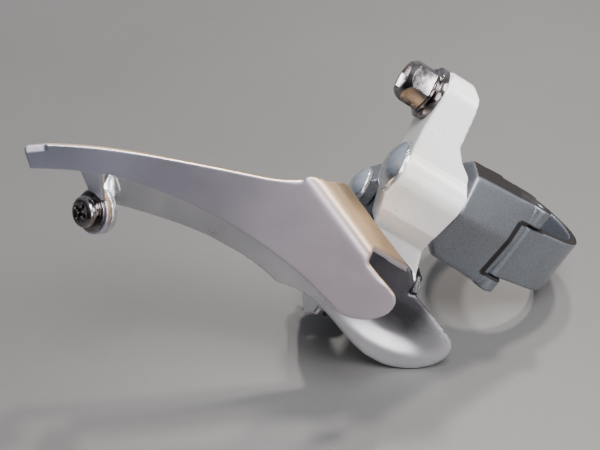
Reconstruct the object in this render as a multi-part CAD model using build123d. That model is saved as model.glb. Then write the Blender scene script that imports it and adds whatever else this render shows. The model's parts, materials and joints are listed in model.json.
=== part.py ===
from build123d import *
import math
import os

os.makedirs("parts", exist_ok=True)

# Front derailleur for a 28.6 mm seat tube, in millimetres.
# Origin: centre of the seat tube clamp. +Z runs up the seat tube, +X points forward,
# +Y points inboard, so the chainwheel side is -Y. The cage is at its innermost stop.

# ---- driving dimensions ----
TUBE_R = 14.3
CLAMP_WALL = 3.2
BAND_WALL = 2.4
BAND_LOW = -6.8
BAND_HIGH = 8.1
RUN = 0.05
GAP = 0.35

# linkage, as (y, z) of axes that run along X
TOP_OUTER = (-29.0, 6.2)
BOTTOM_OUTER = (-22.5, -18.3)
TOP_INNER = (-18.0, -4.8)
BOTTOM_INNER = (TOP_INNER[0] + BOTTOM_OUTER[0] - TOP_OUTER[0],
                TOP_INNER[1] + BOTTOM_OUTER[1] - TOP_OUTER[1])
CABLE = (-23.5, 22.7)
PIN_R = 2.0
BUSH_R = 2.7

# lengthwise stations along X
LINK_REAR = -42.0
LINK_FRONT = -26.1
ARM_REAR = -42.8
BARREL_REAR = -38.1
BARREL_FRONT = -29.8
BLOCK_REAR = -25.5
BLOCK_FRONT = -4.6
EAR_REAR = -38.7
EAR_FRONT = -20.2
EAR_T = 1.4
BRACKET_REAR = -42.8
BRACKET_INSIDE = -39.9
INNER_REAR = -39.55
INNER_STEP = -30.15
LOWER_STEP = -29.6
LOWER_REAR = -36.95
LOWER_FRONT = -21.95

# cage
SHEET = 1.4
OUTER_Y = -44.1
INNER_Y = -31.0
ARC_X = -70.4
ARC_Z = -113.0
OUTER_LOW_R = 94.1
INNER_LOW_R = 85.0
TAIL_AXIS = Vector(-0.70, -0.70, -0.15).normalized()
TAIL_DOWN = Vector(0.106, 0.106, -0.9886).normalized()
TAB_EDGE = Vector(0.927, 0, 0.376)
TAIL_SEAT = Vector(-93.9, -37.1, -34.1)

# clamp
HINGE_X = -3.9
HINGE_Y = -17.3
KNUCKLE_R = 2.75
LIMIT_PLACES = ((-32.6, -21.0), (-27.9, -19.6))
LUG_Y = 22.0
EAR_TOP = 13.2
EAR_BOTTOM = -10.9
HINGE_EAR_R = 3.3
HINGE_PIN_R = 1.0
EAR_GAP = 0.25
SPLIT = 1.5
LUG_BORE_R = 2.5
BOLT_R = 2.45
CABLE_BORE_R = 2.95
CABLE_BOLT_R = 2.9


def rod(x0, x1, centre, radius):
    """Cylinder along X between two stations."""
    plane = Plane(origin=(x0, centre[0], centre[1]), x_dir=(0, 1, 0), z_dir=(1, 0, 0))
    return extrude(plane * Circle(radius), x1 - x0)


def upright(x, y, z0, z1, radius):
    """Cylinder along Z."""
    return Pos(x, y, (z0 + z1) / 2) * Cylinder(radius, z1 - z0)


def slab_x(points, x0, x1):
    """Prism along X with a straight-sided outline given as (y, z)."""
    plane = Plane(origin=(x0, 0, 0), x_dir=(0, 1, 0), z_dir=(1, 0, 0))
    return extrude(plane * make_face(Polyline(*points, close=True)), x1 - x0)


def side_slab(face, y0, y1):
    """Prism along Y of a face drawn as (x, z)."""
    plane = Plane(origin=(0, y0, 0), x_dir=(1, 0, 0), z_dir=(0, -1, 0))
    return extrude(plane * face, -(y1 - y0))


def block(x0, x1, y0, y1, z0, z1):
    return Pos((x0 + x1) / 2, (y0 + y1) / 2, (z0 + z1) / 2) * Box(x1 - x0, y1 - y0, z1 - z0)


def hull_x(x0, x1, circles):
    """Prism along X around two (centre, radius) circles and their outer tangents."""
    (ca, ra), (cb, rb) = circles
    dy, dz = cb[0] - ca[0], cb[1] - ca[1]
    length = math.hypot(dy, dz)
    heading = math.atan2(dz, dy)
    lean = math.acos((ra - rb) / length)
    corners = []
    for centre, radius, side in ((ca, ra, 1), (cb, rb, 1), (cb, rb, -1), (ca, ra, -1)):
        a = heading + side * lean
        corners.append((centre[0] + radius * math.cos(a), centre[1] + radius * math.sin(a)))
    return slab_x(corners, x0, x1) + rod(x0, x1, ca, ra) + rod(x0, x1, cb, rb)


def along_link(down, out):
    """Point at a distance down the outer link from its top axis, and outboard of its line."""
    dy, dz = BOTTOM_OUTER[0] - TOP_OUTER[0], BOTTOM_OUTER[1] - TOP_OUTER[1]
    length = math.hypot(dy, dz)
    dy, dz = dy / length, dz / length
    return (TOP_OUTER[0] + down * dy + out * dz, TOP_OUTER[1] + down * dz - out * dy)


def save(solid, name):
    solid.label = name
    export_step(solid, "parts/" + name + ".step")


# ---- clamp ----
def clamp_ring(wall):
    """Full ring around the tube, as tall as the band."""
    return upright(0, 0, BAND_LOW, BAND_HIGH, TUBE_R + wall)


def lug(x0, x1):
    """Inboard ear that the clamp bolt passes through, round at its outer corners."""
    ear = block(x0, x1, 14.3, LUG_Y + 5.5, -5.5, 5.5)
    return fillet(ear.edges().filter_by(Axis.X).group_by(Axis.Y)[-1], 3.0)


def block_core():
    """Loft from the link pivots forward to the clamp, as outlines in (y, z)."""
    rear = [(-34.0, 5.4), (-28.4, 14.2), (-21.0, 15.0), (-15.0, 12.0), (-12.5, 4.0), (-14.0, -6.0),
            (-27.0, -8.5)]
    front = [(-20.9, 3.0), (-19.6, 13.2), (-14.0, 13.8), (-9.0, 12.6), (-8.0, 3.0), (-9.0, EAR_BOTTOM),
             (-19.6, EAR_BOTTOM)]
    faces = []
    for x, points in ((BLOCK_REAR, rear), (BLOCK_FRONT, front)):
        plane = Plane(origin=(x, 0, 0), x_dir=(0, 1, 0), z_dir=(1, 0, 0))
        faces.append(plane * make_face(Polyline(*points, close=True)))
    core = loft(faces)
    return fillet(core.edges().filter_by(lambda e: e.length > 19), 1.6)


def clamp_body():
    body = block_core()
    ring = clamp_ring(CLAMP_WALL) - block(0, 40, -40, 40, -30, 30)
    ring -= block(-6, 30, 0.5, 40, -30, 30)
    ring += clamp_ring(CLAMP_WALL) & block(-8, -SPLIT, 0, 40, -30, 30)
    ears = upright(HINGE_X, HINGE_Y, BAND_HIGH + EAR_GAP, EAR_TOP, HINGE_EAR_R)
    ears += upright(HINGE_X, HINGE_Y, EAR_BOTTOM, BAND_LOW - EAR_GAP, HINGE_EAR_R)
    side = [(BRACKET_REAR, -4.8), (BRACKET_REAR, -1.5), (BARREL_REAR, 3.6), (BARREL_REAR, -4.8)]
    bridge_rear = side_slab(make_face(Polyline(*side, close=True)), -21.6, -12.5)
    bridge_mid = block(-38.2, -29.9, -29.0, -12.5, 2.4, 6.4)
    bridge_front = block(-30.0, BLOCK_REAR + 1, -22.2, -12.5, 5.0, 8.4)
    side = [(BRACKET_REAR, -4.8), (BRACKET_REAR, -1.5), (-36.2, 5.5), (BLOCK_REAR + 1, 5.5),
            (BLOCK_REAR + 1, -4.8)]
    web = side_slab(make_face(Polyline(*side, close=True)), -14.2, -12.5)
    body += ring + lug(-6.5, -SPLIT) + ears + bridge_rear + bridge_mid + bridge_front + web
    body += rod(BARREL_REAR, BARREL_FRONT, TOP_OUTER, 3.9)
    body += rod(BRACKET_REAR, BRACKET_INSIDE, TOP_INNER, 3.7) + rod(BLOCK_REAR, -20.5, TOP_INNER, 3.9)
    body -= block(BRACKET_INSIDE, BARREL_FRONT - 0.3, -24.0, -12.4, -10.0, 1.5)
    body -= upright(0, 0, BAND_LOW, BAND_HIGH, TUBE_R)
    body -= upright(0, 0, BAND_HIGH, 30, TUBE_R + 1) + upright(0, 0, -30, BAND_LOW, TUBE_R + 1)
    body -= upright(HINGE_X, HINGE_Y, BAND_LOW - EAR_GAP, BAND_HIGH + EAR_GAP, KNUCKLE_R + GAP)
    body -= block(HINGE_X - 0.5, 12, -30, -10, BAND_LOW - EAR_GAP, BAND_HIGH + EAR_GAP)
    body -= block(HINGE_X + HINGE_EAR_R, 14, -30, -10, -12, 15)
    body -= upright(HINGE_X, HINGE_Y, -12, 15, HINGE_PIN_R)
    cut = [(BLOCK_REAR - 1, -4.2), (BLOCK_REAR - 1, -9.5), (-20.8, -9.5)]
    body -= side_slab(make_face(Polyline(*cut, close=True)), -40, -20.9)
    body -= rod(-39, -29, TOP_OUTER, BUSH_R)
    body -= rod(-43, -20.9, TOP_INNER, PIN_R)
    for x, y in LIMIT_PLACES:
        body -= upright(x, y, 1, 10, 1.5)
    return body - rod(-7, 1, (LUG_Y, 0), LUG_BORE_R)


def clamp_band():
    band = clamp_ring(BAND_WALL)
    band -= block(-40, SPLIT, 0, 40, -30, 30)
    band -= block(-40, HINGE_X + 0.4, -40, 1, -30, 30)
    band += lug(SPLIT, 5.7) + upright(HINGE_X, HINGE_Y, BAND_LOW, BAND_HIGH, KNUCKLE_R)
    blend = [(HINGE_X, -15.5), (HINGE_X, HINGE_Y - KNUCKLE_R), (-3.4, HINGE_Y - KNUCKLE_R),
             (7.0, -15.1), (6.0, -13.2)]
    band += Pos(0, 0, BAND_LOW) * extrude(make_face(Polyline(*blend, close=True)), BAND_HIGH - BAND_LOW)
    band -= upright(0, 0, -30, 30, TUBE_R)
    band -= upright(HINGE_X, HINGE_Y, -12, 14, HINGE_PIN_R + RUN)
    slot = extrude(SlotOverall(7.6, 6.0, rotation=90), 8, both=True)
    return band - Pos(3.6, LUG_Y + 0.3, 0) * Rot(0, 90, 0) * slot


def hinge_pin():
    return upright(HINGE_X, HINGE_Y, EAR_BOTTOM + 0.3, EAR_TOP - 0.3, HINGE_PIN_R)


def socket_screw(head_r, head_h, shank_r, length, socket_af):
    """Socket head screw, head on +Z from the seat at z = 0."""
    head = Pos(0, 0, head_h / 2) * Cylinder(head_r, head_h)
    head = fillet(head.edges().sort_by(Axis.Z)[-1], 0.6)
    screw = head + Pos(0, 0, -length / 2) * Cylinder(shank_r, length)
    return screw - extrude(Pos(0, 0, head_h - 2.4) * RegularPolygon(socket_af / 2, 6, major_radius=False), 4)


def clamp_bolt():
    return Pos(6.8, LUG_Y, 0) * Rot(0, 90, 0) * socket_screw(4.2, 4.6, BOLT_R, 14.6, 4.0)


def ring_washer(outer, inner, thick):
    return Cylinder(outer, thick) - Cylinder(inner, thick + 1)


def clamp_washer():
    return Pos(6.25, LUG_Y, 0) * Rot(0, 90, 0) * ring_washer(4.9, 2.7, 1.0)


# ---- links and their pivots ----
def outer_link():
    upper = hull_x(-45.0, -22.0, ((TOP_OUTER, 6.2), (BOTTOM_OUTER, 4.0)))
    inboard = [along_link(d, o) for d, o in ((5.0, -12), (5.0, -3.6), (21.0, -3.6), (21.0, -12))]
    upper -= slab_x(inboard, -46.0, -21.0)
    arm = hull_x(-45.0, -22.0, ((TOP_OUTER, 4.4), (CABLE, 6.4)))
    waist = [(ARM_REAR, 17.0), (ARM_REAR, 27.5), (-41.6, 29.0), (-36.6, 29.2), (-34.8, 27.6), (-34.1, 23.0),
             (-33.3, 17.2), (-31.1, 14.8), (-28.1, 12.8), (-26.1, 8.6), (-26.1, 0.0), (-26.2, -3.5),
             (-25.2, -8.2), (-23.0, -12.6), (LOWER_FRONT, -15.0), (LOWER_FRONT, -23.0),
             (LOWER_REAR, -23.0), (LOWER_REAR, -12.0), (-39.0, -6.5), (-42.0, 0.5), (-42.4, 12.0)]
    front = side_slab(make_face(Polyline(*waist, close=True)), -45, 0)
    link = (upper + arm) & front
    pocket = [along_link(d, o) for d, o in ((-5.9, -14), (-5.9, -3.0), (0.0, 0.0), (4.2, 1.9), (16.8, 1.9),
                                            (16.8, -14))]
    link -= slab_x(pocket, BARREL_REAR - GAP, BARREL_FRONT + GAP)
    link -= block(-34.0, -20.0, -26.0, -10.0, TOP_OUTER[1], 40.0) - rod(-35, -19, TOP_OUTER, 5.9)
    flank = [along_link(d, o) for d, o in ((7.5, 12), (7.5, 5.6), (13.5, 3.4), (20.0, 3.2), (22.0, 12))]
    link -= slab_x(flank, -46.0, -21.0)
    link -= rod(-50, LINK_REAR, TOP_OUTER, 6.1)
    link -= rod(BARREL_REAR - GAP, BARREL_FRONT + GAP, TOP_OUTER, 4.25)
    stop = [(-27.0, 0.5), (-17.6, 0.5), (-17.6, 3.4), (-26.0, 4.4)]
    link += slab_x(stop, -29.4, LINK_FRONT)
    link -= rod(-50, -20, TOP_OUTER, PIN_R)
    link -= rod(-50, -20, BOTTOM_OUTER, BUSH_R)
    link -= rod(-50, -20, CABLE, CABLE_BORE_R)
    return link


def inner_link():
    body = hull_x(INNER_REAR, LOWER_FRONT, ((TOP_INNER, 3.4), (BOTTOM_INNER, 3.4)))
    side = [(INNER_REAR, 0), (INNER_REAR, -9.5), (LOWER_STEP, -22.5), (LOWER_STEP, -34),
            (LOWER_FRONT, -34), (LOWER_FRONT, -22.0), (INNER_STEP, -10.0), (INNER_STEP, 0)]
    body = body & side_slab(make_face(Polyline(*side, close=True)), -30, 0)
    stop = [(-24.0, -4.6), (-18.5, -4.6), (-18.5, -1.5), (-23.2, -1.9)]
    body += slab_x(stop, -36.5, -31.5)
    body -= rod(-45, -20, TOP_INNER, BUSH_R)
    body -= rod(-45, -20, BOTTOM_INNER, BUSH_R)
    return body


def dome_pin(x_seat, x_end, centre, head_r, dome):
    """Rivet-headed pin: a domed head behind x_seat and a plain shank forward to x_end."""
    pin = rod(x_seat, x_end, centre, PIN_R)
    rim = x_seat - 0.9
    ball_r = (head_r ** 2 + dome ** 2) / (2 * dome)
    ball = Pos(rim - dome + ball_r, centre[0], centre[1]) * Sphere(ball_r)
    head = rod(rim - dome, x_seat, centre, head_r) & (ball + rod(rim, x_seat, centre, head_r))
    return pin + head


def bush(x0, x1, centre):
    return rod(x0, x1, centre, BUSH_R) - rod(x0 - 1, x1 + 1, centre, PIN_R + RUN)


def lower_pin(centre):
    pin = rod(EAR_REAR - 0.9, EAR_FRONT + 1.6, centre, PIN_R)
    pin += rod(EAR_REAR - 1.3, EAR_REAR, centre, 3.2)
    groove = rod(EAR_FRONT + 0.25, EAR_FRONT + 0.85, centre, 5.0)
    return pin - (groove - rod(EAR_FRONT, EAR_FRONT + 1, centre, 1.55))


def clip(centre):
    ring = rod(EAR_FRONT + 0.28, EAR_FRONT + 0.82, centre, 3.5)
    ring -= rod(EAR_FRONT, EAR_FRONT + 1, centre, 1.58)
    return ring - block(EAR_FRONT, EAR_FRONT + 1, centre[0] - 1.3, centre[0] + 1.3, centre[1] - 5, centre[1])


def return_spring():
    coil_r, wire_r, pitch, turns = 4.0, 0.6, 1.35, 3.5
    helix = Helix(pitch, pitch * turns, coil_r)
    start = Plane(origin=helix @ 0, z_dir=helix % 0)
    coil = sweep(start * Circle(wire_r), path=helix)
    end = helix @ 1
    tangent = helix % 1
    leg = extrude(Plane(origin=end, z_dir=tangent) * Circle(wire_r), 9.0)
    first = helix @ 0
    back = (helix % 0) * -1
    leg2 = extrude(Plane(origin=first, z_dir=back) * Circle(wire_r), 7.0)
    spring = coil + leg + leg2
    place = Plane(origin=(-36.3, BOTTOM_INNER[0], BOTTOM_INNER[1]), x_dir=(0, 1, 0), z_dir=(1, 0, 0))
    return place * spring


# ---- screws ----
def limit_screw(place, tip, seat):
    x, y = place
    shank = upright(x, y, tip, seat + 0.1, 1.45)
    head = upright(x, y, seat, seat + 2.0, 2.2)
    head = fillet(head.edges().sort_by(Axis.Z)[-1], 0.5)
    for angle in (0, 90):
        head -= Pos(x, y, seat + 1.7) * Rot(0, 0, angle) * Box(2.9, 0.8, 1.6)
    return shank + head


def cable_bolt():
    turned = Plane(origin=(ARM_REAR - 1.6, CABLE[0], CABLE[1]), x_dir=(0, 1, 0), z_dir=(-1, 0, 0))
    hexagon = extrude(RegularPolygon(4.4, 6, major_radius=False), 6.4)
    hexagon = hexagon & (Pos(0, 0, 5.5) * Cone(5.3, 3.8, 1.8) + Pos(0, 0, 2.3) * Cylinder(5.3, 4.6))
    bolt = hexagon + Pos(0, 0, -4.0) * Cylinder(CABLE_BOLT_R, 8.0) + Pos(0, 0, 0.4) * Cylinder(5.2, 0.8)
    bolt -= Pos(0, 0, 2.0) * extrude(RegularPolygon(2.7, 6, major_radius=False), 5)
    return turned * bolt


def cable_washer():
    turned = Plane(origin=(ARM_REAR - 0.05, CABLE[0], CABLE[1]), x_dir=(0, 1, 0), z_dir=(-1, 0, 0))
    plate = Pos(0, 0, 0.75) * ring_washer(6.1, 3.05, 1.5)
    groove = Pos(4.0, 0, 0) * Rot(90, 0, 0) * Cylinder(0.7, 20)
    return turned * (plate - groove)


def tail_plane(offset=0.0):
    return Plane(origin=TAIL_SEAT + TAIL_AXIS * offset, x_dir=TAIL_DOWN, z_dir=TAIL_AXIS)


def tail_screw():
    head = Pos(0, 0, 1.25) * Cylinder(3.4, 2.5)
    head = fillet(head.edges().sort_by(Axis.Z)[-1], 1.1)
    for angle in (0, 90):
        head -= Pos(0, 0, 2.2) * Rot(0, 0, angle) * Box(4.0, 1.0, 2.2)
    screw = head + Pos(0, 0, -2.1) * Cylinder(1.95, 4.2)
    return tail_plane(0.6) * screw


def tail_washer():
    return tail_plane(0.3) * ring_washer(4.4, 2.1, 0.6)


# ---- cage ----
def strap(low, low_wide, high, high_wide, width):
    """Twisted sheet tab between two centres, each with the direction of its width."""
    way = (high - low).normalized()
    ends = []
    for centre, wide in ((low, low_wide), (high, high_wide)):
        plane = Plane(origin=centre, x_dir=wide, z_dir=wide.cross(way).cross(wide))
        ends.append(plane * Rectangle(width, SHEET))
    return loft(ends)


def arc_z(radius, x):
    return ARC_Z + math.sqrt(radius ** 2 - (x - ARC_X) ** 2)


def outer_cage_plate():
    tail_low = (-109.2, -29.3)
    tail_arc = (-94.8, arc_z(OUTER_LOW_R, -94.8))
    front_low = (-38.5, arc_z(OUTER_LOW_R, -38.5))
    edge = [ThreePointArc(tail_low, (-101.6, -25.1), tail_arc)]
    edge.append(ThreePointArc(tail_arc, (ARC_X, ARC_Z + OUTER_LOW_R), front_low))
    edge.append(Spline(front_low, (-35.6, -24.2), (-31.7, -22.2), (-29.1, -18.6), (-29.4, -15.8),
                       (-31.2, -14.4)))
    edge.append(Line((-31.2, -14.4), (-39.6, -11.2)))
    edge.append(Line((-39.6, -11.2), (-61.2, -2.6)))
    edge.append(Spline((-61.2, -2.6), (-65.0, -5.0), (-71.2, -7.4), (-84.1, -12.0), (-96.6, -16.9),
                       (-108.9, -23.2)))
    edge.append(Polyline((-108.9, -23.2), (-112.0, -25.6), (-112.3, -26.2), tail_low))
    plate = side_slab(make_face(edge), OUTER_Y, OUTER_Y + SHEET)
    lip = Plane(origin=(-112.6, OUTER_Y, -26.0), x_dir=(0, 1, 0), z_dir=(0.79, 0, 0.61))
    plate -= extrude(lip * make_face(Polyline((-0.3, -1.8), (-0.3, 1.5), (1.9, 1.5), close=True)), 4.6)
    slope = Vector(21.6, 0, -9.1).normalized()
    across = Vector(0, 1, 0)
    up = slope.cross(across)
    base = Vector(-61.2, OUTER_Y, -2.6)
    rise = math.radians(12)
    reach = 9.2
    bend = 3.4

    def at(y, w):
        return base + across * y + up * w

    turn = math.radians(90) - rise
    mid = turn / 2
    outer_mid = at(bend - bend * math.cos(mid), bend * math.sin(mid))
    outer_end = at(bend - bend * math.cos(turn), bend * math.sin(turn))
    inner = bend - SHEET
    inner_mid = at(bend - inner * math.cos(mid), inner * math.sin(mid))
    inner_end = at(bend - inner * math.cos(turn), inner * math.sin(turn))
    go = across * math.sin(turn) + up * math.cos(turn)
    wires = [
        Line(at(0, -0.4), at(0, 0)),
        ThreePointArc(at(0, 0), outer_mid, outer_end),
        Line(outer_end, outer_end + go * reach),
        Line(outer_end + go * reach, inner_end + go * reach),
        Line(inner_end + go * reach, inner_end),
        ThreePointArc(inner_end, inner_mid, at(SHEET, 0)),
        Line(at(SHEET, 0), at(SHEET, -0.4)),
        Line(at(SHEET, -0.4), at(0, -0.4)),
    ]
    section = make_face(wires)
    fold = extrude(section, 60, dir=slope) + extrude(section, 30, dir=slope * -1)
    plan = [(-61.4, -46.0), (-61.4, -44.0), (-58.6, -42.6), (-56.6, -41.0), (-49.4, -31.2), (-47.6, -28.0),
            (-22.0, -28.0), (-25.5, -31.2), (-39.6, -41.6), (-39.6, -46.0)]
    trim = Pos(0, 0, -40) * extrude(make_face(Polyline(*plan, close=True)), 80)
    plate += fold & trim
    plate += tail_plane(-1.4) * extrude(Circle(4.9), 1.4)
    disc = TAIL_SEAT - TAIL_AXIS * 0.7 - TAIL_DOWN * 2.6
    plate += strap(disc, TAIL_AXIS.cross(TAIL_DOWN), Vector(-98.6, OUTER_Y + 0.75, -23.6), TAB_EDGE, 4.2)
    plate -= tail_plane() * extrude(Circle(5.0), 6)
    return plate - tail_plane(-5) * extrude(Circle(2.05), 10)


def inner_cage_plate():
    low_tail = (-92.0, -33.2)
    low_mid = (-50.0, arc_z(INNER_LOW_R, -50.0))
    edge = [Spline(low_tail, (-82.3, -30.8), (-74.6, -29.3), (-64.5, -28.5), low_mid)]
    edge.append(Spline(low_mid, (-31.4, -33.2), (-23.9, -35.6), (-18.3, -35.9), (-12.0, -33.9),
                       (-7.2, -30.0), (-5.4, -25.6), (-7.4, -22.0)))
    edge.append(Spline((-7.4, -22.0), (-14.0, -19.4), (-21.4, -16.8)))
    edge.append(Polyline((-21.4, -16.8), (-23.0, -17.4), (-23.0, -14.6), (-25.2, -12.2)))
    edge.append(Line((-25.2, -12.2), (-48.0, -3.6)))
    edge.append(Spline((-48.0, -3.6), (-56.0, -11.5), (-66.0, -13.6), (-80.0, -16.6), (-95.2, -24.0)))
    edge.append(Polyline((-95.2, -24.0), (-94.9, -28.6), low_tail))
    plate = side_slab(make_face(edge), INNER_Y, INNER_Y + SHEET)
    rim_edge = [Spline((-36.0, -32.1), (-31.4, -33.2), (-23.9, -35.6), (-18.3, -35.9), (-12.0, -33.9),
                       (-7.2, -30.0), (-5.4, -25.6), (-7.4, -22.0)),
                Spline((-7.4, -22.0), (-14.0, -19.4), (-21.4, -16.8)),
                Spline((-21.4, -16.8), (-20.6, -19.8), (-13.4, -23.2), (-10.0, -26.6), (-13.8, -30.4),
                       (-19.6, -31.8), (-27.0, -31.2), (-36.0, -32.1))]
    plate += side_slab(make_face(rim_edge), INNER_Y - 2.0, INNER_Y + 0.5)
    ear = [(INNER_Y + 0.6, -14.8), (INNER_Y + 0.6, -33.0), (-25.0, -36.6), (-15.5, -36.6), (-9.0, -33.2),
           (-7.0, -29.0), (-8.5, -25.0), (-18.8, -15.4), (-21.0, -14.0), (-26.0, -14.0)]
    rear = slab_x(ear, EAR_REAR, EAR_REAR + EAR_T)
    short = [(INNER_Y + 0.6, -18.0), (INNER_Y + 0.6, -30.0), (-13.0, -33.6), (-9.0, -33.2), (-7.0, -29.0),
             (-8.5, -25.0), (-18.8, -15.4), (-21.0, -14.0), (-25.0, -14.2)]
    front = slab_x(short, EAR_FRONT - EAR_T, EAR_FRONT)
    plate += rear + front
    plate += tail_plane(-2.9) * extrude(Circle(4.9), 1.4)
    disc = TAIL_SEAT - TAIL_AXIS * 2.2 - TAIL_DOWN * 1.5
    tail = Vector(-93.0, INNER_Y + 0.7, -27.5)
    plate += strap(disc, TAIL_AXIS.cross(TAIL_DOWN), tail, Vector(0.6, 0, -0.8), 5.4)
    for centre in (BOTTOM_OUTER, BOTTOM_INNER):
        plate -= rod(EAR_REAR - 1, EAR_FRONT + 1, centre, PIN_R)
    return plate - tail_plane(-5) * extrude(Circle(1.95), 10)


PARTS = {
    "clamp_body": clamp_body,
    "clamp_band": clamp_band,
    "band_hinge_pin": hinge_pin,
    "clamp_bolt": clamp_bolt,
    "clamp_bolt_washer": clamp_washer,
    "outer_link": outer_link,
    "inner_link": inner_link,
    "upper_outer_pivot": lambda: dome_pin(LINK_REAR, LINK_FRONT + 0.2, TOP_OUTER, 5.8, 2.0),
    "upper_inner_pivot": lambda: dome_pin(BRACKET_REAR, -21.0, TOP_INNER, 4.9, 1.7),
    "lower_outer_pivot": lambda: lower_pin(BOTTOM_OUTER),
    "lower_inner_pivot": lambda: lower_pin(BOTTOM_INNER),
    "lower_pivot_clips": lambda: Compound([clip(BOTTOM_OUTER), clip(BOTTOM_INNER)]),
    "upper_outer_bush": lambda: bush(BARREL_REAR, BARREL_FRONT, TOP_OUTER),
    "upper_inner_bush": lambda: bush(INNER_REAR, INNER_STEP, TOP_INNER),
    "lower_outer_bush": lambda: bush(LOWER_REAR, LOWER_FRONT, BOTTOM_OUTER),
    "lower_inner_bush": lambda: bush(LOWER_STEP, LOWER_FRONT, BOTTOM_INNER),
    "return_spring": return_spring,
    "high_limit_screw": lambda: limit_screw(LIMIT_PLACES[0], 1.2, 6.4),
    "low_limit_screw": lambda: limit_screw(LIMIT_PLACES[1], 3.9, 8.4),
    "cable_bolt": cable_bolt,
    "cable_washer": cable_washer,
    "outer_cage_plate": outer_cage_plate,
    "inner_cage_plate": inner_cage_plate,
    "tail_screw": tail_screw,
    "tail_washer": tail_washer,
}

for name, make in PARTS.items():
    save(make(), name)
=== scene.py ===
import json
import math

import bmesh
import bpy
from mathutils import Matrix, Vector


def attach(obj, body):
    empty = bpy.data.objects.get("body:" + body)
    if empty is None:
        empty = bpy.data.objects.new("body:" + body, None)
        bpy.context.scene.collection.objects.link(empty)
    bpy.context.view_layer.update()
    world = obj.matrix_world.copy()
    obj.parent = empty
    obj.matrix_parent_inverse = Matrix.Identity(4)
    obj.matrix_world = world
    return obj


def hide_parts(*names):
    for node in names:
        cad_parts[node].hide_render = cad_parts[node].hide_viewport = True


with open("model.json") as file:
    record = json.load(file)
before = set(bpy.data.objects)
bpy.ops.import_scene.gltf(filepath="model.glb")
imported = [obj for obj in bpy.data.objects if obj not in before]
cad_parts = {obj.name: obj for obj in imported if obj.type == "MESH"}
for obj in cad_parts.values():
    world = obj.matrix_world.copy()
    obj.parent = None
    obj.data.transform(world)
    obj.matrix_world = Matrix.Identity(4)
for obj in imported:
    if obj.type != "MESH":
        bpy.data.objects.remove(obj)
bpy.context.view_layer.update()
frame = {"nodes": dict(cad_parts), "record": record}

NODES = frame["nodes"]
MM = 0.001

# Millimetres.
CAST_VOXEL = 0.28
SHEET_VOXEL = 0.25
WELD = 0.002
SCREW_EDGE = 0.15
WASHER_EDGE = 0.12
PIN_EDGE = 0.2
NOSE_DISH = 1.2

# Degrees.
COPLANAR = 0.6
SHARP = 28.0
SMOOTH = 40.0


# Gaps around the band's knuckle, as box corners in millimetres, where painted shade darkens the paint.
HINGE_GAPS = (
    ((-7.6, -24.0, 7.6), (1.0, -12.5, 8.9)),
    ((-7.6, -24.0, -7.7), (1.0, -12.5, -6.5)),
    ((-8.1, -24.0, -7.2), (-6.3, -16.0, 8.4)),
)


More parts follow.
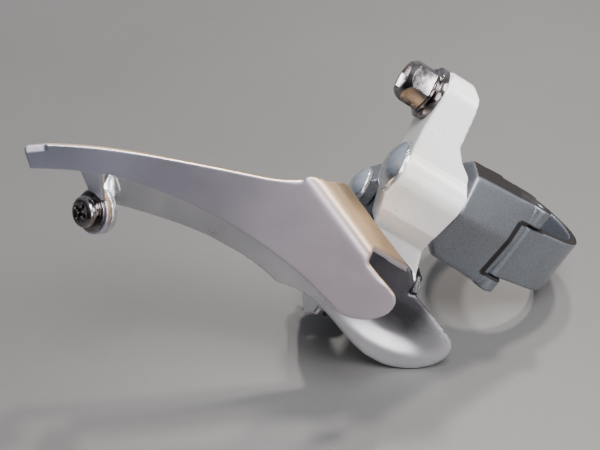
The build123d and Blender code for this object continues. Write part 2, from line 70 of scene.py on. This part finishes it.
# ---- node helpers ----
class Shader:
    """A material with small helpers for wiring procedural nodes."""

    def __init__(self, name):
        self.material = bpy.data.materials.new(name)
        self.material.use_nodes = True
        self.tree = self.material.node_tree
        self.tree.nodes.clear()
        self.out = self.tree.nodes.new("ShaderNodeOutputMaterial")
        self.bsdf = self.tree.nodes.new("ShaderNodeBsdfPrincipled")
        self.tree.links.new(self.bsdf.outputs[0], self.out.inputs["Surface"])
        self.coords = self.tree.nodes.new("ShaderNodeTexCoord").outputs["Object"]

    def link(self, a, b):
        self.tree.links.new(a, b)

    def put(self, socket, value):
        self.bsdf.inputs[socket].default_value = value

    def scaled(self, scale, turn=(0, 0, 0)):
        node = self.tree.nodes.new("ShaderNodeMapping")
        node.inputs["Rotation"].default_value = turn
        node.inputs["Scale"].default_value = scale
        self.link(self.coords, node.inputs["Vector"])
        return node.outputs[0]

    def noise(self, scale, detail=4.0, rough=0.55, vector=None):
        node = self.tree.nodes.new("ShaderNodeTexNoise")
        node.inputs["Scale"].default_value = scale
        node.inputs["Detail"].default_value = detail
        node.inputs["Roughness"].default_value = rough
        self.link(vector or self.coords, node.inputs["Vector"])
        return node.outputs["Fac"]

    def flakes(self, scale):
        node = self.tree.nodes.new("ShaderNodeTexVoronoi")
        node.inputs["Scale"].default_value = scale
        self.link(self.coords, node.inputs["Vector"])
        sep = self.tree.nodes.new("ShaderNodeSeparateColor")
        self.link(node.outputs["Color"], sep.inputs[0])
        return sep.outputs[0]

    def ramp(self, fac, stops):
        node = self.tree.nodes.new("ShaderNodeValToRGB")
        ramp = node.color_ramp
        while len(ramp.elements) < len(stops):
            ramp.elements.new(0.5)
        for element, (place, colour) in zip(ramp.elements, stops):
            element.position = place
            if isinstance(colour, (int, float)):
                colour = (colour, colour, colour)
            element.color = (*colour, 1.0)
        self.link(fac, node.inputs[0])
        return node.outputs[0]

    def mix(self, fac, a, b):
        node = self.tree.nodes.new("ShaderNodeMix")
        node.data_type = "RGBA"
        for key, value in ((0, fac), (6, a), (7, b)):
            if isinstance(value, bpy.types.NodeSocket):
                self.link(value, node.inputs[key])
            else:
                node.inputs[key].default_value = value
        return node.outputs[2]

    def math(self, how, a, b=0.0):
        node = self.tree.nodes.new("ShaderNodeMath")
        node.operation = how
        for key, value in ((0, a), (1, b)):
            if isinstance(value, bpy.types.NodeSocket):
                self.link(value, node.inputs[key])
            else:
                node.inputs[key].default_value = value
        return node.outputs[0]

    def near(self, point, radius, soft):
        """1 at a point in millimetres, falling to 0 past the radius."""
        node = self.tree.nodes.new("ShaderNodeVectorMath")
        node.operation = "DISTANCE"
        self.link(self.coords, node.inputs[0])
        node.inputs[1].default_value = [v * MM for v in point]
        span = self.tree.nodes.new("ShaderNodeMapRange")
        span.interpolation_type = "SMOOTHSTEP"
        span.inputs["From Min"].default_value = (radius - soft) * MM
        span.inputs["From Max"].default_value = (radius + soft) * MM
        span.inputs["To Min"].default_value = 1.0
        span.inputs["To Max"].default_value = 0.0
        self.link(node.outputs["Value"], span.inputs["Value"])
        return span.outputs[0]

    def inside(self, low, high, soft):
        """1 inside a box given by two corners in millimetres, soft at its faces."""
        parts = self.tree.nodes.new("ShaderNodeSeparateXYZ")
        self.link(self.coords, parts.inputs[0])
        mask = None
        for axis in range(3):
            for edge, sign in ((low[axis], 1), (high[axis], -1)):
                span = self.tree.nodes.new("ShaderNodeMapRange")
                span.interpolation_type = "SMOOTHSTEP"
                span.inputs["From Min"].default_value = (edge - sign * soft) * MM
                span.inputs["From Max"].default_value = (edge + sign * soft) * MM
                self.link(parts.outputs[axis], span.inputs["Value"])
                mask = span.outputs[0] if mask is None else self.math("MULTIPLY", mask, span.outputs[0])
        return mask

    def facing(self, way, low, high):
        """0 to 1 as the surface turns towards a direction fixed to the part."""
        normal = self.tree.nodes.new("ShaderNodeNewGeometry").outputs["Normal"]
        local = self.tree.nodes.new("ShaderNodeVectorTransform")
        local.vector_type = "NORMAL"
        local.convert_from = "WORLD"
        local.convert_to = "OBJECT"
        self.link(normal, local.inputs[0])
        dot = self.tree.nodes.new("ShaderNodeVectorMath")
        dot.operation = "DOT_PRODUCT"
        self.link(local.outputs[0], dot.inputs[0])
        dot.inputs[1].default_value = way
        span = self.tree.nodes.new("ShaderNodeMapRange")
        span.interpolation_type = "SMOOTHSTEP"
        span.inputs["From Min"].default_value = low
        span.inputs["From Max"].default_value = high
        self.link(dot.outputs["Value"], span.inputs["Value"])
        return span.outputs[0]

    def bump(self, height, strength, depth):
        node = self.tree.nodes.new("ShaderNodeBump")
        node.inputs["Strength"].default_value = strength
        node.inputs["Distance"].default_value = depth
        self.link(height, node.inputs["Height"])
        self.link(node.outputs[0], self.bsdf.inputs["Normal"])

    def colour(self, socket):
        self.link(socket, self.bsdf.inputs["Base Color"])

    def roughness(self, socket):
        self.link(socket, self.bsdf.inputs["Roughness"])


def worn_metal(name, dark, light, rough, grain_scale, grain_depth, grain_turn=(0, 0, 0), cloud=60.0,
               stain_and_shade=None):
    """Bare or plated metal: streaked grain, cloudy tone and uneven gloss, with painted shade darkening a
    given box.
    """
    s = Shader(name)
    s.put("Metallic", 1.0)
    grain = s.noise(1.0, 3.0, 0.6, s.scaled(grain_scale, turn=grain_turn))
    clouds = s.noise(cloud, 5.0)
    tone = s.mix(0.35, s.ramp(clouds, ((0.3, 0.0), (0.7, 1.0))), grain)
    base = s.ramp(tone, ((0.2, dark), (0.8, light)))
    # Painted shade and dark reflection: a near-black patch over the given box.
    if stain_and_shade:
        low, high, soft, depth, colour = stain_and_shade
        patch = s.ramp(clouds, ((0.2, depth * 0.8), (0.6, depth)))
        mask = s.math("MULTIPLY", s.inside(low, high, soft), patch)
        base = s.mix(mask, base, (*colour, 1.0))
    s.colour(base)
    s.roughness(s.ramp(tone, ((0.2, rough[0]), (0.8, rough[1]))))
    s.bump(grain, 0.35, grain_depth)
    return s.material


def brushed_plate():
    """Brushed, faintly pink plate with painted shade, darker and bluer towards the tail, and a painted
    golden highlight where it folds over on top.
    """
    s = Shader("brushed_plate")
    s.put("Metallic", 1.0)
    s.put("Anisotropic", 0.45)
    grain = s.noise(1.0, 2.0, 0.6, s.scaled((160, 2600, 2600), turn=(0, 0.32, 0)))
    fine = s.noise(2400.0, 2.0)
    clouds = s.noise(45.0, 5.0)
    tone = s.mix(0.5, s.ramp(clouds, ((0.35, 0.0), (0.65, 1.0))), s.mix(0.5, grain, fine))
    body = s.ramp(tone, ((0.2, (0.62, 0.545, 0.605)), (0.8, (0.72, 0.64, 0.70))))
    # Painted shade: the plate turns darker and bluer towards the tail.
    tail_shade = s.near((-112, -44, -25), 38, 36)
    body = s.mix(tail_shade, body, (0.47, 0.485, 0.59, 1.0))
    # Painted highlight: faces turned up over the fold and bridge are tinted golden.
    s.colour(s.mix(s.facing((0.3, 0.0, 0.95), 0.1, 1.0), body, (0.66, 0.47, 0.28, 1.0)))
    s.roughness(s.ramp(tone, ((0.2, 0.34), (0.8, 0.46))))
    s.bump(s.mix(0.5, grain, fine), 0.25, 0.00002)
    return s.material


def pearl_white():
    """Pearl enamel with a few specks of dirt and a yellowed patch around the big rivet."""
    s = Shader("pearl_white")
    s.put("Metallic", 0.0)
    s.put("Roughness", 0.32)
    s.put("Coat Weight", 0.8)
    s.put("Coat Roughness", 0.06)
    clouds = s.noise(70.0, 5.0)
    speck = s.flakes(5200.0)
    base = s.ramp(clouds, ((0.3, (0.76, 0.745, 0.73)), (0.7, (0.83, 0.815, 0.80))))
    base = s.mix(0.05, base, s.ramp(speck, ((0.0, 0.55), (1.0, 1.0))))
    dirt = s.ramp(s.noise(900.0, 2.0, 0.5), ((0.66, 0.0), (0.74, 0.7)))
    dirt = s.math("MULTIPLY", dirt, s.ramp(clouds, ((0.45, 0.0), (0.65, 1.0))))
    base = s.mix(dirt, base, (0.25, 0.21, 0.15, 1.0))
    stain_and_shade = s.math("MULTIPLY", s.near((-42, -29, 6.2), 8.5, 4.0), s.noise(240.0, 3.0))
    base = s.mix(s.math("MULTIPLY", stain_and_shade, 0.55), base, (0.62, 0.55, 0.36, 1.0))
    s.colour(base)
    s.bump(s.noise(420.0, 2.0), 0.15, 0.00003)
    return s.material


def flake_grey():
    """Silver-grey flake paint, darker and duller on the faces turned up, with painted shade along the
    hinge's gaps.
    """
    s = Shader("flake_grey")
    s.put("Coat Roughness", 0.12)
    speck = s.flakes(6500.0)
    fine = s.flakes(12000.0)
    clouds = s.noise(55.0, 4.0)
    base = s.ramp(speck, ((0.0, (0.12, 0.135, 0.16)), (0.8, (0.18, 0.20, 0.235)), (1.0, (0.32, 0.35, 0.39))))
    base = s.mix(0.35, base, s.ramp(fine, ((0.0, (0.11, 0.12, 0.135)), (1.0, (0.26, 0.275, 0.30)))))
    base = s.mix(0.2, base, s.ramp(clouds, ((0.3, (0.10, 0.105, 0.12)), (0.7, (0.26, 0.275, 0.295)))))
    patch = s.ramp(clouds, ((0.25, 0.8), (0.5, 1.0)))
    # Darker, duller paint on the faces turned up, in cloudy patches.
    dark_top_and_gap_shade = s.math("MULTIPLY", s.facing((0.1, 0.25, 0.95), 0.35, 0.72), patch)
    # Painted shade: the gaps around the band's knuckle are darkened to near black.
    for low, high in HINGE_GAPS:
        dark_top_and_gap_shade = s.math("MAXIMUM", dark_top_and_gap_shade, s.inside(low, high, 0.3))
    plain_paint = s.math("SUBTRACT", 1.0, dark_top_and_gap_shade)
    s.colour(s.mix(dark_top_and_gap_shade, base, (0.022, 0.020, 0.020, 1.0)))
    s.link(s.math("MULTIPLY", plain_paint, 0.8), s.bsdf.inputs["Metallic"])
    s.link(s.math("MULTIPLY", plain_paint, 0.5), s.bsdf.inputs["Coat Weight"])
    s.link(s.math("MULTIPLY", plain_paint, 0.5), s.bsdf.inputs["Specular IOR Level"])
    s.roughness(s.mix(dark_top_and_gap_shade, s.ramp(speck, ((0.0, 0.46), (1.0, 0.32))), (0.6, 0.6, 0.6, 1.0)))
    s.bump(s.mix(0.5, speck, s.noise(900.0, 2.0)), 0.2, 0.00003)
    return s.material


def moulded(name, dark, light):
    s = Shader(name)
    clouds = s.noise(300.0, 4.0)
    s.colour(s.ramp(clouds, ((0.3, dark), (0.7, light))))
    s.roughness(s.ramp(clouds, ((0.3, 0.42), (0.7, 0.6))))
    s.bump(s.noise(2500.0, 2.0), 0.3, 0.00002)
    return s.material


LOOKS = {
    "brushed_plate": brushed_plate(),
    "white_enamel": pearl_white(),
    "cast_grey": flake_grey(),
    # Painted shade and dark reflection: the nose's dish and the panel under the bridge turn near black.
    "polished_plate": worn_metal("polished_plate", (0.50, 0.50, 0.53), (0.60, 0.595, 0.61), (0.24, 0.36),
                                 (300, 2400, 2400), 0.000008, (0, 0.3, 0),
                                 stain_and_shade=((-37, -36, -28.2), (-15, -20, -6), 3.5, 0.97, (0.05, 0.048, 0.058))),
    # Painted dark reflection: the chrome's base colour is kept dark to stand for dim surroundings.
    "chrome_steel": worn_metal("chrome_steel", (0.11, 0.095, 0.095), (0.36, 0.33, 0.325), (0.10, 0.26),
                               (900, 900, 900), 0.00001, cloud=420.0),
    "zinc_steel": worn_metal("zinc_steel", (0.62, 0.655, 0.70), (0.80, 0.825, 0.86), (0.20, 0.34),
                             (1200, 1200, 1200), 0.000012, cloud=300.0),
    "dark_spring": worn_metal("dark_spring", (0.06, 0.06, 0.065), (0.16, 0.155, 0.15), (0.30, 0.45),
                              (1500, 1500, 1500), 0.00001, cloud=500.0),
    "nylon": moulded("nylon", (0.025, 0.025, 0.028), (0.05, 0.05, 0.055)),
}


# ---- mesh helpers ----
def body_of(node):
    for body, nodes in frame["record"]["behaviour"]["bodies"].items():
        if node in nodes:
            return body
    raise KeyError(node)


def slot_of(node):
    for row in frame["record"]["subparts"]:
        if row["node"] == node:
            return row["material_slot"]
    raise KeyError(node)


def new_object(name, mesh):
    obj = bpy.data.objects.new(name, mesh)
    bpy.context.scene.collection.objects.link(obj)
    return obj


def adopt(obj, node):
    """Gives a finished piece its body and its finish, and hides the CAD node it stands for."""
    obj.data.materials.clear()
    obj.data.materials.append(LOOKS[slot_of(node)])
    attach(obj, body_of(node))
    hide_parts(node)
    return obj


def edged(node, width):
    """The CAD shape with flat faces merged and its sharp edges rounded."""
    bm = bmesh.new()
    bm.from_mesh(NODES[node].data)
    bmesh.ops.remove_doubles(bm, verts=bm.verts, dist=WELD * MM)
    bmesh.ops.dissolve_limit(bm, angle_limit=math.radians(COPLANAR), verts=bm.verts, edges=bm.edges)
    sharp = [e for e in bm.edges if len(e.link_faces) == 2 and e.calc_face_angle() > math.radians(SHARP)]
    bmesh.ops.bevel(bm, geom=sharp, offset=width * MM, segments=2, profile=0.5, affect="EDGES",
                    clamp_overlap=True)
    mesh = bpy.data.meshes.new(node + "_edged")
    bm.to_mesh(mesh)
    bm.free()
    for polygon in mesh.polygons:
        polygon.use_smooth = True
    mesh.set_sharp_from_angle(angle=math.radians(SMOOTH))
    return adopt(new_object(node + "_skin", mesh), node)


def settle(obj):
    """Applies the object's modifiers to its mesh."""
    graph = bpy.context.evaluated_depsgraph_get()
    mesh = bpy.data.meshes.new_from_object(obj.evaluated_get(graph))
    obj.modifiers.clear()
    obj.data = mesh


def relax(obj, repeat, weigh=None):
    """Smooths the mesh, everywhere or by a weight worked out from each point in millimetres."""
    modifier = obj.modifiers.new("relax", "SMOOTH")
    modifier.factor = 0.5
    modifier.iterations = repeat
    if weigh:
        group = obj.vertex_groups.new(name="relax")
        for vertex in obj.data.vertices:
            weight = weigh(vertex.co / MM)
            if weight > 0:
                group.add([vertex.index], weight, "REPLACE")
        modifier.vertex_group = "relax"
    settle(obj)


def cast(node, voxel, repeat):
    """The CAD shape as a casting: every corner, inside and out, runs into a soft radius."""
    obj = new_object(node + "_skin", NODES[node].data.copy())
    remesh = obj.modifiers.new("remesh", "REMESH")
    remesh.mode = "VOXEL"
    remesh.voxel_size = voxel * MM
    settle(obj)
    relax(obj, repeat)
    for polygon in obj.data.polygons:
        polygon.use_smooth = True
    return adopt(obj, node)


def step(value, low, high):
    """0 below low, 1 above high, smooth between."""
    t = min(1.0, max(0.0, (value - low) / (high - low)))
    return t * t * (3 - 2 * t)


def block_weight(p):
    """The solid block behind the hinge, whose corners are cast very round."""
    return step(-p.x, 8.5, 11.0) * step(p.x, -29.0, -24.0) * step(-p.y, 6.0, 9.0)


def fold_weight(p):
    """The bend between the outer plate's face and its bridge, and the bridge's shoulders."""
    line = -4.2 - 0.421 * (p.x + 61.2)
    return step(p.x, -66.0, -58.0) * step(-p.x, 33.0, 36.0) * step(p.z, line - 4.5, line - 1.5)


def spoon(obj):
    """Rolls the rim of the inner plate's nose and dishes the metal inside it."""
    def nose(p):
        return step(p.x, -40, -34) * step(-p.y, 28.5, 29.3)

    relax(obj, 30, nose)
    for vertex in obj.data.vertices:
        p = vertex.co / MM
        reach = math.hypot((p.x + 22.5) / 15.0, (p.z + 26.0) / 6.6)
        vertex.co.y += NOSE_DISH * MM * nose(p) * (1 - step(reach, 0.25, 1.0))


# ---- the pieces ----
relax(cast("clamp_body", CAST_VOXEL, 10), 90, block_weight)
cast("clamp_band", CAST_VOXEL, 14)
cast("outer_link", CAST_VOXEL, 7)
cast("inner_link", CAST_VOXEL, 5)
spoon(cast("inner_cage_plate", SHEET_VOXEL, 3))
relax(cast("outer_cage_plate", SHEET_VOXEL, 3), 50, fold_weight)
for node in ("clamp_bolt", "cable_bolt", "high_limit_screw", "low_limit_screw", "tail_screw"):
    edged(node, SCREW_EDGE)
for node in ("clamp_bolt_washer", "cable_washer", "tail_washer", "lower_pivot_clips"):
    edged(node, WASHER_EDGE)
for node in ("upper_outer_pivot", "upper_inner_pivot", "lower_outer_pivot", "lower_inner_pivot",
             "band_hinge_pin"):
    edged(node, PIN_EDGE)
for node in ("upper_outer_bush", "upper_inner_bush", "lower_outer_bush", "lower_inner_bush",
             "return_spring"):
    for place in NODES[node].material_slots:
        place.material = LOOKS[slot_of(node)]


# ---- table ----
FLOOR_NORMAL = Vector((-0.512, -0.2337, 0.8266)).normalized()
FLOOR_LEVEL = -14.996 * MM


def floor_material():
    s = Shader("table")
    s.put("Metallic", 0.0)
    clouds = s.noise(9.0, 4.0)
    grain = s.noise(500.0, 2.0)
    tone = s.mix(0.3, clouds, grain)
    s.colour(s.ramp(tone, ((0.25, (0.080, 0.0765, 0.0745)), (0.75, (0.098, 0.094, 0.092)))))
    s.put("Roughness", 0.5)
    clear = s.tree.nodes.new("ShaderNodeBsdfTransparent")
    switch = s.tree.nodes.new("ShaderNodeMixShader")
    side = s.tree.nodes.new("ShaderNodeNewGeometry")
    s.link(side.outputs["Backfacing"], switch.inputs[0])
    s.link(s.bsdf.outputs[0], switch.inputs[1])
    s.link(clear.outputs[0], switch.inputs[2])
    s.link(switch.outputs[0], s.out.inputs["Surface"])
    return s.material


def table_top():
    mesh = bpy.data.meshes.new("table")
    bm = bmesh.new()
    bmesh.ops.create_grid(bm, x_segments=8, y_segments=8, size=0.9)
    bm.to_mesh(mesh)
    bm.free()
    mesh.materials.append(floor_material())
    obj = new_object("table", mesh)
    turn = FLOOR_NORMAL.to_track_quat("Z", "Y").to_matrix().to_4x4()
    obj.matrix_world = Matrix.Translation(FLOOR_NORMAL * FLOOR_LEVEL) @ turn


table_top()

# ---- camera ----
CAMERA_X = Vector((0.84250, -0.04155, 0.53709))
CAMERA_Y = Vector((-0.47993, 0.39494, 0.78339))
CAMERA_Z = Vector((-0.24467, -0.91778, 0.31280))
CAMERA_PLACE = (-0.1098, -0.2436, 0.0566)
camera_data = bpy.data.cameras.new("camera")
camera_data.sensor_width = 36.0
camera_data.lens = 63.1
camera_data.clip_start = 0.005
camera = bpy.data.objects.new("camera", camera_data)
bpy.context.scene.collection.objects.link(camera)
pose = Matrix((CAMERA_X, CAMERA_Y, CAMERA_Z)).transposed().to_4x4()
camera.matrix_world = Matrix.Translation(CAMERA_PLACE) @ pose
bpy.context.scene.camera = camera

# ---- light ----
AIM = Vector((-0.05, -0.03, -0.01))


def area_light(name, right, up, back, distance, size, power, colour):
    """Soft light aimed at the part from a direction given along the camera's own axes."""
    way = (CAMERA_X * right + CAMERA_Y * up + CAMERA_Z * back).normalized()
    data = bpy.data.lights.new(name, "AREA")
    data.shape = "DISK"
    data.size = size
    data.energy = power
    data.color = colour
    light = bpy.data.objects.new(name, data)
    bpy.context.scene.collection.objects.link(light)
    turn = way.to_track_quat("Z", "Y").to_matrix().to_4x4()
    light.matrix_world = Matrix.Translation(AIM + way * distance) @ turn


area_light("key", 0.36, 0.92, 0.14, 0.9, 0.08, 6.5, (1.0, 0.93, 0.84))
area_light("second", 0.12, 0.98, 0.09, 0.9, 0.08, 5.5, (1.0, 0.96, 0.90))
area_light("front", 0.15, 0.55, 0.85, 0.8, 0.5, 13.0, (0.97, 0.98, 1.0))
area_light("right", 1.0, 0.30, 0.45, 0.8, 0.4, 5.0, (1.0, 0.98, 0.95))
area_light("low", 0.45, -0.30, 0.88, 0.9, 0.5, 3.6, (1.0, 0.96, 0.98))

world = bpy.data.worlds.new("studio")
bpy.context.scene.world = world
world.use_nodes = True
sky = world.node_tree.nodes
background = sky["Background"]
where = sky.new("ShaderNodeTexCoord")
rise = sky.new("ShaderNodeVectorMath")
rise.operation = "DOT_PRODUCT"
rise.inputs[1].default_value = CAMERA_Y
band = sky.new("ShaderNodeValToRGB")
SKY = ((0.15, (0.055, 0.06, 0.07)), (0.75, (0.62, 0.66, 0.74)))
for element, (place, colour) in zip(band.color_ramp.elements, SKY):
    element.position = place
    element.color = (*colour, 1.0)
world.node_tree.links.new(where.outputs["Generated"], rise.inputs[0])
world.node_tree.links.new(rise.outputs["Value"], band.inputs[0])
world.node_tree.links.new(band.outputs[0], background.inputs["Color"])
background.inputs["Strength"].default_value = 0.9
